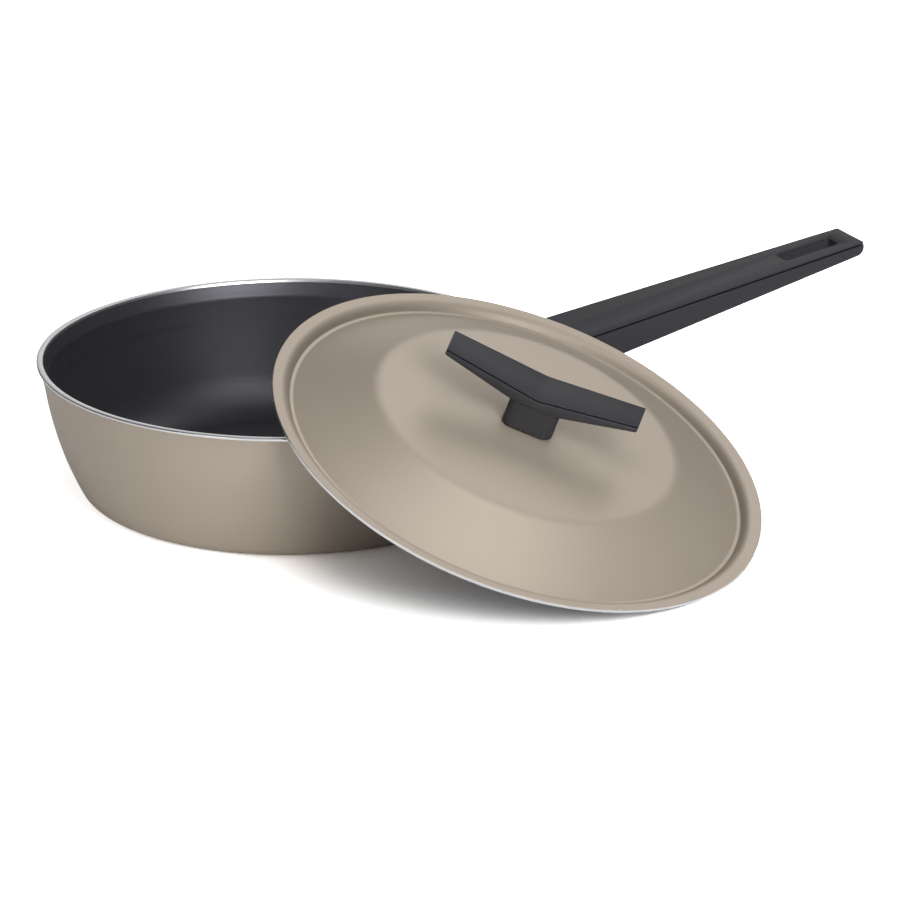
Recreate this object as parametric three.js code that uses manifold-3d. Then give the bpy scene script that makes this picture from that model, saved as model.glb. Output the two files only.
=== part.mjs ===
// Frying pan with a lid: a lacquered aluminium pan, a moulded handle, and a pressed lid that leans on it.
// Millimetres, +Z up. The origin is the centre of the pan's underside, and the handle runs out along +X.
import * as THREE from "three";
import { mergeVertices } from "three/addons/utils/BufferGeometryUtils.js";
import Module from "manifold-3d";

const wasm = await Module();
wasm.setup();

const degree = Math.PI / 180;
const mergeDistance = 1e-4;

// Sides of the large and small round pieces, and steps along the arcs of their outlines
const roundSides = 64;
const smallSides = 24;
const filletSteps = 4;
const wallSteps = 4;
const panCornerSteps = 6;
const lidSteps = 2;
const headSteps = 3;

// Gap between two pieces that touch on the real object
const seat = 0.3;

// Pan: the wall bows out from a round corner up to a crease, and the band above it flares to the rim
const panRimRadius = 120;
const panHeight = 66;
const panWall = 3;
const panFloor = 4.5;
const panFlareHeight = 7.3;
const panFlareReach = 3;
const panLean = 6.6 * degree;
const panBow = 157;
const panCorner = 8.8;
const panInnerCorner = 26;

// Steel disc let into the underside
const discRadius = 78;
const discThickness = 0.8;

// Handle: sizes in its own frame, whose origin is on its top face above the rim's outer edge
const handleTopHeight = 53;
const handleRise = 8.7 * degree;
const handleLength = 191;
const handleRootWidth = 39.6;
const handleTipWidth = 26;
const handleRootDepth = 17.9;
const handleTipDepth = 6.3;
const handleTipCorner = 4.5;
const handleEdgeRound = 1;
const slotLength = 30.4;
const slotWidth = 11.4;
const slotCorner = 2.4;
const slotFromTip = 10.2;

// A cover is a thin lip over the whole top and a tongue below it that drops into the body's pocket
const coverLip = 0.8;
const coverShadow = 0.7;
const coverTongue = 1.7;
const coverInset = 3;

// Bracket: a flange against the pan's wall and a tongue inside the handle
const flangeWidth = 34;
const flangeHeight = 14.5;
const flangeThickness = 3;
const flangeCorner = 4;
const tongueWidth = 14;
const tongueThickness = 5;
const tongueLength = 48;
const tongueDepth = 7.6;
const tongueCorner = 1;

// Rivets and screws
const rivetSpacing = 24;
const rivetRadius = 2.5;
const rivetHeadRadius = 4.2;
const rivetHeadHeight = 1.4;
const rivetCrown = 60 * degree;
const handleScrewRadius = 2.2;
const handleScrewHeadRadius = 4.2;
const handleScrewHeadHeight = 2.2;
const handleScrewReach = 34;
const handleScrewEnd = 1.4;
const screwLand = 2.2;

// Lid: heights are above the top of the brim's outer edge
const lidRadius = 119.5;
const lidSheet = 1.6;
const lidBrimWidth = 6.2;
const lidBrimDip = 0.6;
const lidBrimRound = 6;
const lidGrooveDepth = 3.8;
const lidGrooveFloor = 1.8;
const lidGrooveWall = 3;
const lidGrooveRound = 1.4;
const lidShoulderRadius = 73;
const lidShoulderHeight = 13.8;
const lidShoulderRound = 14;
const lidPadRadius = 16;
const lidPadHeight = 14;

// The lid stands on the table this far outside the rim, and leans on it in this direction
const lidFootFromRim = 124.5;
const lidLeanDirection = -63.75 * degree;
const lidLeanGap = 0.5;
const flattestLean = 5 * degree;
const steepestLean = 60 * degree;
const leanHalvings = 40;
const rimSamples = 180;

// Knob: a bar bent up at both arms on a short stem
const knobTurn = 26.1 * degree;
const knobHalfLength = 47.5;
const knobBendHeight = 34.5;
const knobTipRise = 5.6;
const knobBendWidth = 23.3;
const knobTipWidth = 17.6;
const knobTipDepth = 3.8;
const knobRootDepth = 7;
const knobEdgeRound = 1;
const knobTongue = 1.1;
const stemLength = 24.5;
const stemWidth = 21;
const stemCorner = 5;
const sealThickness = 0.6;
const sealInset = 1.5;
const insertRadius = 4;
const insertLength = 11.5;
const knobScrewRadius = 2.5;
const knobScrewHeadRadius = 4.6;
const knobScrewHeadHeight = 2.6;
const knobScrewGrip = 9;
const washerRadius = 7;
const washerThickness = 1;

const lacquer = { color: 0xb9aa98, roughness: 0.45, metalness: 0.1 };
const mould = { color: 0x2b2b2d, roughness: 0.55, metalness: 0 };
const steel = { color: 0xb8b9bb, roughness: 0.3, metalness: 1 };
const brass = { color: 0xb39a5c, roughness: 0.35, metalness: 1 };
const silicone = { color: 0x303030, roughness: 0.8, metalness: 0 };

// A closed solid of a geometry, with shared vertices merged and flat triangles dropped
function solidOf(geometry) {
  const bare = geometry.clone();
  bare.deleteAttribute("normal");
  bare.deleteAttribute("uv");
  const merged = mergeVertices(bare, mergeDistance);
  const index = merged.index.array;
  const triangles = [];
  for (let i = 0; i < index.length; i += 3) {
    const [a, b, c] = index.slice(i, i + 3);
    if (a !== b && b !== c && c !== a) triangles.push(a, b, c);
  }
  const vertProperties = new Float32Array(merged.attributes.position.array);
  const triVerts = new Uint32Array(triangles);
  return new wasm.Manifold(new wasm.Mesh({ numProp: 3, vertProperties, triVerts }));
}

function geometryOf(solid) {
  const { vertProperties, triVerts } = solid.getMesh();
  const geometry = new THREE.BufferGeometry();
  geometry.setAttribute("position", new THREE.BufferAttribute(new Float32Array(vertProperties), 3));
  geometry.setIndex(new THREE.BufferAttribute(new Uint32Array(triVerts), 1));
  geometry.computeVertexNormals();
  return geometry;
}

function cut(solid, ...tools) {
  return tools.reduce((rest, tool) => rest.subtract(tool), solid);
}

function piece(name, solid, look) {
  const mesh = new THREE.Mesh(geometryOf(solid), new THREE.MeshStandardMaterial(look));
  mesh.name = name;
  return mesh;
}

// Points of an arc about (x, y), from one angle to another
function arc(x, y, radius, from, to, steps) {
  return Array.from({ length: steps + 1 }, (_, i) => {
    const angle = from + ((to - from) * i) / steps;
    return new THREE.Vector2(x + radius * Math.cos(angle), y + radius * Math.sin(angle));
  });
}

// A run of corners [x, y, radius] as points, with an arc at each corner that has a radius
function rounded(corners, closed, steps = filletSteps) {
  const count = corners.length;
  return corners.flatMap(([x, y, radius = 0], i) => {
    const here = new THREE.Vector2(x, y);
    const isEnd = !closed && (i === 0 || i === count - 1);
    if (radius === 0 || isEnd) return [here];
    const before = new THREE.Vector2(...corners[(i + count - 1) % count]).sub(here).normalize();
    const after = new THREE.Vector2(...corners[(i + 1) % count]).sub(here).normalize();
    const half = Math.acos(before.dot(after)) / 2;
    const middle = before.clone().add(after).normalize();
    const centre = here.clone().addScaledVector(middle, radius / Math.sin(half));
    const sweep = Math.PI - 2 * half;
    const turn = Math.sign(before.cross(after));
    const away = Math.atan2(-middle.y, -middle.x);
    return arc(centre.x, centre.y, radius, away + (turn * sweep) / 2, away - (turn * sweep) / 2, steps);
  });
}

// Solid turned about Z from a profile of (radius, height) points that runs up its outside
function turned(profile, sides = smallSides) {
  return solidOf(new THREE.LatheGeometry(profile, sides).rotateX(Math.PI / 2));
}

function rod(radius, low, high, hole = 0) {
  const section = [[hole, low], [radius, low], [radius, high], [hole, high]];
  if (hole > 0) section.push([hole, low]);
  return section.map(([r, z]) => new THREE.Vector2(r, z));
}

// Outline in X and Y, raised from one height to another
function prism(outline, low, high) {
  const shape = new THREE.Shape(outline);
  const geometry = new THREE.ExtrudeGeometry(shape, { depth: high - low, bevelEnabled: false });
  return solidOf(geometry.translate(0, 0, low));
}

// Outline in X and Z, as thick as the width across Y
function slab(outline, width) {
  const shape = new THREE.Shape(outline);
  const geometry = new THREE.ExtrudeGeometry(shape, { depth: width, bevelEnabled: false });
  return solidOf(geometry.translate(0, 0, -width / 2).rotateX(Math.PI / 2));
}

function rectangle(x0, x1, width, corner) {
  const half = width / 2;
  return rounded([[x0, -half, corner], [x1, -half, corner], [x1, half, corner], [x0, half, corner]], true);
}

function moved(solid, matrix) {
  return solidOf(geometryOf(solid).applyMatrix4(matrix));
}

// Pan. The inner and outer bows of the wall share one centre, and both end at the crease
const creaseRadius = panRimRadius - panFlareReach;
const creaseHeight = panHeight - panFlareHeight;
const bowCentre = {
  radius: creaseRadius - panBow * Math.cos(panLean),
  height: creaseHeight + panBow * Math.sin(panLean),
};

function vesselSide(bow, topAngle, corner, floor) {
  const lowAngle = Math.asin((bowCentre.height - floor - corner) / (bow - corner));
  const cornerRadius = bowCentre.radius + (bow - corner) * Math.cos(lowAngle);
  const foot = arc(cornerRadius, floor + corner, corner, -Math.PI / 2, -lowAngle, panCornerSteps);
  const wall = arc(bowCentre.radius, bowCentre.height, bow, -lowAngle, -topAngle, wallSteps);
  return [...foot, ...wall.slice(1)];
}

function panEnvelope(growth) {
  const side = vesselSide(panBow + growth, panLean, panCorner + growth, -growth);
  const above = panHeight + handleRootDepth;
  const top = [[panRimRadius + growth, panHeight], [panRimRadius + growth, above], [0, above]];
  const outline = [[0, -growth], ...side.map((point) => point.toArray()), ...top];
  return turned(outline.map(([r, z]) => new THREE.Vector2(r, z)), roundSides);
}

const innerRim = panRimRadius - panWall;
const innerCrease = creaseRadius - panWall;
const innerLean = Math.atan2(bowCentre.height - creaseHeight, innerCrease - bowCentre.radius);
const innerBow = Math.hypot(bowCentre.height - creaseHeight, innerCrease - bowCentre.radius);
const recessRadius = discRadius + seat;
const recessDepth = discThickness + seat;
const panProfile = [
  new THREE.Vector2(0, recessDepth),
  new THREE.Vector2(recessRadius, recessDepth),
  new THREE.Vector2(recessRadius, 0),
  ...vesselSide(panBow, panLean, panCorner, 0),
  new THREE.Vector2(panRimRadius, panHeight),
  new THREE.Vector2(innerRim, panHeight),
  ...vesselSide(innerBow, innerLean, panInnerCorner, panFloor).reverse(),
  new THREE.Vector2(0, panFloor),
];

// Handle frame: X along the handle, Z up from its top face
const handlePlace = new THREE.Matrix4().makeTranslation(panRimRadius, 0, handleTopHeight);
handlePlace.multiply(new THREE.Matrix4().makeRotationY(-handleRise));
const toHandle = handlePlace.clone().invert();

// Rivets sit square to the wall at the middle of the handle's root
const rivetHeight = handleTopHeight - handleRootDepth / 2;
const rivetAngle = Math.asin((bowCentre.height - rivetHeight) / panBow);
const rivetReach = bowCentre.radius + panBow * Math.cos(rivetAngle);
const rivetSwing = Math.asin(rivetSpacing / 2 / rivetReach);
const flangeFace = seat + flangeThickness;

// Rivet frame: X out of the wall's outer face
function rivetPlace(side) {
  const place = new THREE.Matrix4().makeRotationZ(side * rivetSwing);
  place.multiply(new THREE.Matrix4().makeTranslation(rivetReach, 0, rivetHeight));
  return place.multiply(new THREE.Matrix4().makeRotationY(rivetAngle + Math.PI / 2));
}

const rivetPlaces = [rivetPlace(1), rivetPlace(-1)];
const rivetHoles = rivetPlaces.map((place) =>
  moved(turned(rod(rivetRadius + seat, -2 * panWall, 2 * flangeFace)), place));

function rivet() {
  const inside = -panWall - seat;
  const outside = flangeFace + seat;
  return turned([
    new THREE.Vector2(0, inside - rivetHeadHeight),
    ...arc(0, inside, rivetHeadRadius, -rivetCrown, 0, headSteps).map(flattenHead(inside)),
    new THREE.Vector2(rivetRadius, inside),
    new THREE.Vector2(rivetRadius, outside),
    new THREE.Vector2(rivetHeadRadius, outside),
    new THREE.Vector2(rivetRadius, outside + rivetHeadHeight),
    new THREE.Vector2(0, outside + rivetHeadHeight),
  ]);
}

// Presses an arc of the head's radius down to the head's height
function flattenHead(base) {
  const squash = rivetHeadHeight / rivetHeadRadius;
  return (point) => new THREE.Vector2(point.x, base + (point.y - base) * squash);
}

const panBody = cut(turned(panProfile, roundSides), ...rivetHoles);
const baseDisc = turned(rod(discRadius, 0, discThickness), roundSides);

// Bracket: the flange follows the wall, and the tongue runs along the handle
const flangeOutline = rounded([
  [-flangeHeight / 2, -flangeWidth / 2, flangeCorner],
  [flangeHeight / 2, -flangeWidth / 2, flangeCorner],
  [flangeHeight / 2, flangeWidth / 2, flangeCorner],
  [-flangeHeight / 2, flangeWidth / 2, flangeCorner],
], true);
const flangePlace = new THREE.Matrix4().makeTranslation(0, 0, rivetHeight);
flangePlace.multiply(new THREE.Matrix4().makeRotationY(Math.PI / 2));
const flangeBlock = moved(prism(flangeOutline, panRimRadius / 2, panRimRadius + flangeFace), flangePlace);
const flange = flangeBlock.intersect(panEnvelope(flangeFace)).subtract(panEnvelope(seat));

const tongueLow = -tongueDepth - tongueThickness / 2;
const tongueHigh = tongueLow + tongueThickness;
const screwPlace = new THREE.Matrix4().makeTranslation(handleScrewReach, 0, 0);
const screwBore = turned(rod(handleScrewRadius + seat, -handleRootDepth, tongueHigh + handleScrewEnd + seat));
const screwHole = moved(screwBore, screwPlace);
const tonguePlan = rectangle(-handleRootDepth, tongueLength, tongueWidth, tongueCorner);
const tongueBlock = prism(tonguePlan, tongueLow, tongueHigh);
const tongue = cut(moved(tongueBlock.subtract(screwHole), handlePlace), panEnvelope(seat));
const bracket = cut(flange.add(tongue), ...rivetHoles);

// Handle: a tapering plan, and a side view whose underside rises to the tip
function handleHalfWidth(along) {
  return (handleRootWidth + ((handleTipWidth - handleRootWidth) * along) / handleLength) / 2;
}

function handlePlan(start, end, inset, corner) {
  const near = handleHalfWidth(start) - inset;
  const far = handleHalfWidth(end) - inset;
  return rounded([[start, -near], [end, -far, corner], [end, far, corner], [start, near]], true);
}

const handleStart = -handleRootDepth;
const bodyTop = -coverLip - coverShadow;
const depthSlope = (handleRootDepth - handleTipDepth) / handleLength;
const handleSide = rounded([
  [handleStart, -handleRootDepth + depthSlope * handleStart],
  [handleLength, -handleTipDepth, handleTipCorner],
  [handleLength, bodyTop],
  [handleStart, bodyTop],
], true);
const slotEnd = handleLength - slotFromTip;
const slot = prism(rectangle(slotEnd - slotLength, slotEnd, slotWidth, slotCorner), -handleRootDepth, seat);
const rootTool = moved(panEnvelope(flangeFace + seat), toHandle);
const pocketStart = flangeFace + rivetHeadHeight + 2 * seat + coverInset;
const coverTongueLow = -coverLip - coverTongue;

const handlePocket = prism(
  handlePlan(pocketStart - seat, handleLength - coverInset + seat, coverInset - seat, handleEdgeRound),
  coverTongueLow - seat,
  0,
);
const handleSocket = prism(
  rectangle(handleStart, tongueLength + seat, tongueWidth + 2 * seat, tongueCorner),
  tongueLow - seat,
  tongueHigh + seat,
);
const headSeat = tongueLow - seat - screwLand;
const screwWell = moved(turned(rod(handleScrewHeadRadius + seat, -handleRootDepth, headSeat)), screwPlace);
const rivetWells = rivetPlaces.map((place) => {
  const well = turned(rod(rivetHeadRadius + seat, 0, flangeFace + rivetHeadHeight + 2 * seat));
  return moved(moved(well, place), toHandle);
});
const handleBlock = slab(handleSide, handleRootWidth + handleRootDepth)
  .intersect(prism(handlePlan(handleStart, handleLength, 0, handleEdgeRound), -2 * handleRootDepth, 0));
const handleBody = cut(
  handleBlock, rootTool, slot, handlePocket, handleSocket, screwHole, screwWell, ...rivetWells,
);

const coverPlan = handlePlan(handleStart, handleLength, 0, handleEdgeRound);
const coverTonguePlan = handlePlan(pocketStart, handleLength - coverInset, coverInset, handleEdgeRound);
const handleCover = cut(
  prism(coverPlan, -coverLip, 0).add(prism(coverTonguePlan, coverTongueLow, -coverLip)), rootTool, slot,
);

function screw(radius, headRadius, headHeight, grip) {
  const head = [[0, -headHeight], [headRadius, -headHeight, headHeight / 2], [headRadius, 0]];
  return turned([
    ...rounded(head, false),
    new THREE.Vector2(radius, 0),
    new THREE.Vector2(radius, grip),
    new THREE.Vector2(0, grip),
  ]);
}

const handleScrewSeat = headSeat - seat;
const handleScrewGrip = tongueHigh + handleScrewEnd - handleScrewSeat;
const handleScrew = screw(handleScrewRadius, handleScrewHeadRadius, handleScrewHeadHeight, handleScrewGrip);

// Lid: the top face from the screw hole out to the brim's edge, and the same line set down by the sheet
const lidHole = knobScrewRadius + seat;
const grooveOuter = lidRadius - lidBrimWidth - lidGrooveWall;
const lidTop = rounded([
  [lidHole, lidPadHeight],
  [lidPadRadius, lidPadHeight, lidShoulderRound],
  [lidShoulderRadius, lidShoulderHeight, lidShoulderRound],
  [grooveOuter - lidGrooveFloor, -lidGrooveDepth, lidGrooveRound],
  [grooveOuter, -lidGrooveDepth, lidGrooveRound / 2],
  [lidRadius - lidBrimWidth, -lidBrimDip, lidBrimRound],
  [lidRadius, 0],
], false, lidSteps);

// Each point moves square to the line, far enough for both of its neighbouring stretches
function setDown(line, distance) {
  const stretches = line.slice(1).map((point, i) => point.clone().sub(line[i]).normalize());
  return line.map((point, i) => {
    const before = stretches[Math.max(i - 1, 0)];
    const after = stretches[Math.min(i, stretches.length - 1)];
    const along = before.clone().add(after).normalize();
    const reach = distance / along.dot(before);
    return new THREE.Vector2(point.x + along.y * reach, point.y - along.x * reach);
  });
}

const lidUnder = setDown(lidTop, lidSheet);
lidUnder[0].x = lidHole;
lidUnder[lidUnder.length - 1].x = lidRadius;
const lidShell = turned([...lidUnder, ...lidTop.slice().reverse(), lidUnder[0]], roundSides);

// The lid leans until its underside clears the rim by the lean gap, with its brim's foot on the table
function undersideHeight(radius) {
  const next = Math.max(1, lidUnder.findIndex((point) => point.x >= radius));
  const [from, to] = [lidUnder[next - 1], lidUnder[next]];
  return from.y + ((to.y - from.y) * (radius - from.x)) / (to.x - from.x);
}

const lidFoot = lidUnder[lidUnder.length - 1];

function lidCentre(tilt) {
  const reach = panRimRadius + lidFootFromRim - lidFoot.x * Math.cos(tilt) - lidFoot.y * Math.sin(tilt);
  const height = lidFoot.x * Math.sin(tilt) - lidFoot.y * Math.cos(tilt);
  return { reach, height };
}

function rimGap(tilt) {
  const { reach, height } = lidCentre(tilt);
  const rise = panHeight - height;
  const angles = Array.from({ length: rimSamples + 1 }, (_, i) => (Math.PI * i) / rimSamples);
  const gaps = [panRimRadius, innerRim].flatMap((radius) => angles.map((angle) => {
    const along = radius * Math.cos(angle) - reach;
    const downhill = along * Math.cos(tilt) - rise * Math.sin(tilt);
    const distance = Math.hypot(downhill, radius * Math.sin(angle));
    const out = along * Math.sin(tilt) + rise * Math.cos(tilt);
    const isUnder = distance > lidHole && distance < lidFoot.x;
    return isUnder ? undersideHeight(distance) - out : Infinity;
  }));
  return Math.min(...gaps);
}

function leanTilt() {
  let [low, high] = [flattestLean, steepestLean];
  for (let i = 0; i < leanHalvings; i += 1) {
    const middle = (low + high) / 2;
    if (rimGap(middle) < lidLeanGap) low = middle;
    else high = middle;
  }
  return high;
}

const lidTilt = leanTilt();
const lidAt = lidCentre(lidTilt);
const lidX = lidAt.reach * Math.cos(lidLeanDirection);
const lidY = lidAt.reach * Math.sin(lidLeanDirection);

// Knob frame: Z up from the brim, X along the bar
const stemFoot = lidPadHeight + sealThickness + 2 * seat;

function knobTop(drop, half) {
  const tip = knobBendHeight + (knobTipRise * half) / knobHalfLength;
  return [[half, tip - drop], [0, knobBendHeight - drop], [-half, tip - drop]];
}

function knobPlan(half, inset) {
  const taper = (knobBendWidth - knobTipWidth) / knobHalfLength;
  const bend = knobBendWidth / 2 - inset;
  const tip = (knobBendWidth - taper * half) / 2 - inset;
  return rounded([
    [-half, -tip, knobEdgeRound], [0, -bend], [half, -tip, knobEdgeRound],
    [half, tip, knobEdgeRound], [0, bend], [-half, tip, knobEdgeRound],
  ], true);
}

function knobLayer(top, bottom, half, inset) {
  const outline = [...knobTop(bottom, half).reverse(), ...knobTop(top, half)];
  const plan = prism(knobPlan(half, inset), stemFoot, knobBendHeight + 2 * knobTipRise);
  return slab(rounded(outline, true), knobBendWidth).intersect(plan);
}

const knobBodyTop = coverLip + coverShadow;
const knobTipHeight = knobBendHeight + knobTipRise;
const armRoot = knobBendHeight + (knobTipRise * stemLength) / (2 * knobHalfLength) - knobRootDepth;
const armSide = rounded([
  [-stemLength / 2, armRoot],
  [stemLength / 2, armRoot],
  [knobHalfLength, knobTipHeight - knobTipDepth],
  ...knobTop(knobBodyTop, knobHalfLength),
  [-knobHalfLength, knobTipHeight - knobTipDepth],
], true);
const arms = slab(armSide, knobBendWidth)
  .intersect(prism(knobPlan(knobHalfLength, 0), stemFoot, knobTipHeight));
const stemTop = knobBendHeight - knobBodyTop - knobTongue;
const stem = prism(rectangle(-stemLength / 2, stemLength / 2, stemWidth, stemCorner), stemFoot, stemTop);
const insertBore = turned(rod(insertRadius + seat, 0, stemFoot + insertLength + 2 * seat));
const coverHalf = knobHalfLength - coverInset;
const knobPocket = knobLayer(0, coverLip + knobTongue + seat, coverHalf + seat, coverInset - seat);
const knobBody = cut(arms.add(stem), insertBore, knobPocket);
const knobCover = knobLayer(0, coverLip, knobHalfLength, 0)
  .add(knobLayer(coverLip / 2, coverLip + knobTongue, coverHalf, coverInset));

const insertLow = stemFoot + seat;
const knobInsert = turned(rod(insertRadius, insertLow, insertLow + insertLength, knobScrewRadius + seat));
const sealLow = lidPadHeight + seat;
const sealOutline = rectangle(
  sealInset - stemLength / 2, stemLength / 2 - sealInset, stemWidth - 2 * sealInset, stemCorner - sealInset,
);
const knobSeal = cut(
  prism(sealOutline, sealLow, sealLow + sealThickness),
  turned(rod(knobScrewRadius + seat, 0, stemFoot)),
);
const washerTop = lidPadHeight - lidSheet - seat;
const knobWasher = turned(rod(washerRadius, washerTop - washerThickness, washerTop, knobScrewRadius + seat));
const knobScrewSeat = washerTop - washerThickness - seat;
const knobScrew = screw(
  knobScrewRadius, knobScrewHeadRadius, knobScrewHeadHeight, stemFoot + knobScrewGrip - knobScrewSeat,
);

// Assembly
const pan = new THREE.Group();
pan.add(
  piece("pan_body", panBody, lacquer),
  piece("base_disc", baseDisc, steel),
  piece("handle_bracket", bracket, steel),
);
["rivet_left", "rivet_right"].forEach((name, i) => {
  const mesh = piece(name, rivet(), steel);
  mesh.applyMatrix4(rivetPlaces[i]);
  pan.add(mesh);
});

const handle = new THREE.Group();
handle.applyMatrix4(handlePlace);
const screwMesh = piece("handle_screw", handleScrew, steel);
screwMesh.position.set(handleScrewReach, 0, handleScrewSeat);
handle.add(piece("handle_body", handleBody, mould), piece("handle_cover", handleCover, mould), screwMesh);

const knob = new THREE.Group();
knob.rotation.z = knobTurn;
const knobScrewMesh = piece("knob_screw", knobScrew, steel);
knobScrewMesh.position.z = knobScrewSeat;
knob.add(
  piece("knob_body", knobBody, mould),
  piece("knob_cover", knobCover, mould),
  piece("knob_insert", knobInsert, brass),
  piece("knob_seal", knobSeal, silicone),
  piece("knob_washer", knobWasher, steel),
  knobScrewMesh,
);

// The lid tips about its own Y, then turns to the direction that it leans in
const lid = new THREE.Group();
lid.rotation.set(0, lidTilt, lidLeanDirection, "ZYX");
lid.position.set(lidX, lidY, lidAt.height);
lid.add(piece("lid_shell", lidShell, lacquer), knob);

const fryingPan = new THREE.Group();
fryingPan.name = "frying_pan_with_lid";
fryingPan.add(pan, handle, lid);

export default fryingPan;
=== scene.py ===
# Frying pan with a lid: a lacquered aluminium pan, a moulded handle on a riveted bracket, and a pressed lid
# with a bent bar for a knob, which leans on the rim. Sizes of pieces are in millimetres and become metres
# in the meshes. The studio is in metres.
import math

import bmesh
import bpy
from mathutils import Matrix, Vector


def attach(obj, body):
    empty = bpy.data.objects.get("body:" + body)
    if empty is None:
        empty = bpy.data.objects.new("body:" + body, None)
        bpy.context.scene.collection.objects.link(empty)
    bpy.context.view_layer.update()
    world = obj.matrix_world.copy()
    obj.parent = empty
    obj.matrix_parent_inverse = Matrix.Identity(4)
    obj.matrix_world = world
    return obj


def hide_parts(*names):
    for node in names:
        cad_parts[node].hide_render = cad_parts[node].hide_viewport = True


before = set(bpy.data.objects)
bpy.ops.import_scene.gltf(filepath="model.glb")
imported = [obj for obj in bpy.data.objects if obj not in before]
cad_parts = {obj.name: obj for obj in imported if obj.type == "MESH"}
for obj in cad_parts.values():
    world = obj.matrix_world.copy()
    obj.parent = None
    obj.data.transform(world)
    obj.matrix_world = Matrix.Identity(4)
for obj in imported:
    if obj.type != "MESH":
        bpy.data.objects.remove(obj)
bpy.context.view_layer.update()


# Pan body: one aluminium pressing. The wall bows out from a round corner to a crease, and the band above it
# flares to the rim. It is lacquered outside and coated inside, and the lip is turned bare on a lathe.
metre = 0.001
merge_distance = 0.0005
rim_radius = 120.0
pan_height = 66.0
pan_wall = 3.0
pan_floor = 4.5
flare_height = 7.3
flare_reach = 3.0
wall_lean = math.radians(6.6)
wall_bow = 157.0
outer_corner = 8.8
inner_corner = 26.0
crease_round = 6.0
crease_blend = 4
crease_steps = 10
corner_steps = 14
wall_steps = 24
lip_band = 1.15
lip_step = 0.3
lip_round = 0.45
seat = 0.3
disc_radius = 78.0
disc_thickness = 0.8
recess_bevel = 0.4
crease_radius = rim_radius - flare_reach
crease_height = pan_height - flare_height
bow_radius = crease_radius - wall_bow * math.cos(wall_lean)
bow_height = crease_height + wall_bow * math.sin(wall_lean)


def arc(x, y, radius, start, end, steps):
    """Points of an arc about (x, y)."""
    turns = [start + (end - start) * i / steps for i in range(steps + 1)]
    return [(x + radius * math.cos(turn), y + radius * math.sin(turn)) for turn in turns]


def rounded(corners, closed=False, steps=6):
    """Corners (x, y, radius) as points, with an arc at each corner that has a radius."""
    points = []
    count = len(corners)
    for i, corner in enumerate(corners):
        here = Vector(corner[:2])
        radius = corner[2] if len(corner) > 2 else 0
        if radius == 0 or (not closed and i in (0, count - 1)):
            points.append(tuple(here))
            continue
        before = (Vector(corners[i - 1][:2]) - here).normalized()
        after = (Vector(corners[(i + 1) % count][:2]) - here).normalized()
        half = before.angle(after) / 2
        middle = (before + after).normalized()
        centre = here + middle * radius / math.sin(half)
        sweep = math.pi - 2 * half
        turn = math.copysign(1, before.x * after.y - before.y * after.x)
        away = math.atan2(-middle.y, -middle.x)
        points += arc(*centre, radius, away + turn * sweep / 2, away - turn * sweep / 2, steps)
    return points


def vessel_side(bow, top_angle, corner, floor):
    """The side of the pan from its flat floor up to the crease."""
    low_angle = math.asin((bow_height - floor - corner) / (bow - corner))
    corner_radius = bow_radius + (bow - corner) * math.cos(low_angle)
    foot = arc(corner_radius, floor + corner, corner, -math.pi / 2, -low_angle, corner_steps)
    wall = arc(bow_radius, bow_height, bow, -low_angle, -top_angle, wall_steps)
    return foot + wall[1:]


def eased_turn(start, middle, end, steps):
    """Points of a curve that leaves the start towards the middle and comes from it to the end."""
    points = []
    for i in range(1, steps + 1):
        share = i / steps
        first, second, third = (1 - share) ** 2, 2 * share * (1 - share), share * share
        points.append(tuple(first * a + second * b + third * c for a, b, c in zip(start, middle, end)))
    return points


def smoothed(mesh, sharp_angle):
    """Smooth shading, except at edges sharper than the angle."""
    mesh.polygons.foreach_set("use_smooth", [True] * len(mesh.polygons))
    mesh.set_sharp_from_angle(angle=math.radians(sharp_angle))


def meshed(name, shape):
    """Mesh of a finished bmesh."""
    mesh = bpy.data.meshes.new(name)
    shape.to_mesh(mesh)
    shape.free()
    return mesh


def turned(name, runs, sides=256, sharp_angle=38):
    """Mesh turned about Z from runs of (radius, height) points, each run with its material's number."""
    shape = bmesh.new()
    rings = []
    zones = []
    for zone, points in runs:
        for radius, height in points[1 if rings else 0:]:
            spin = [2 * math.pi * i / sides for i in range(sides)] if radius > 0 else [0]
            ring = [Vector((radius * math.cos(a), radius * math.sin(a), height)) * metre for a in spin]
            rings.append([shape.verts.new(point) for point in ring])
            zones.append(zone)
    for low, high, zone in zip(rings, rings[1:], zones[1:]):
        for i in range(sides):
            after = i + 1
            quad = [low[i % len(low)], low[after % len(low)], high[after % len(high)], high[i % len(high)]]
            corners = list(dict.fromkeys(quad))
            if len(corners) > 2:
                shape.faces.new(corners).material_index = zone
    bmesh.ops.remove_doubles(shape, verts=shape.verts, dist=merge_distance * metre)
    bmesh.ops.recalc_face_normals(shape, faces=shape.faces)
    mesh = meshed(name, shape)
    smoothed(mesh, sharp_angle)
    return mesh


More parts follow.
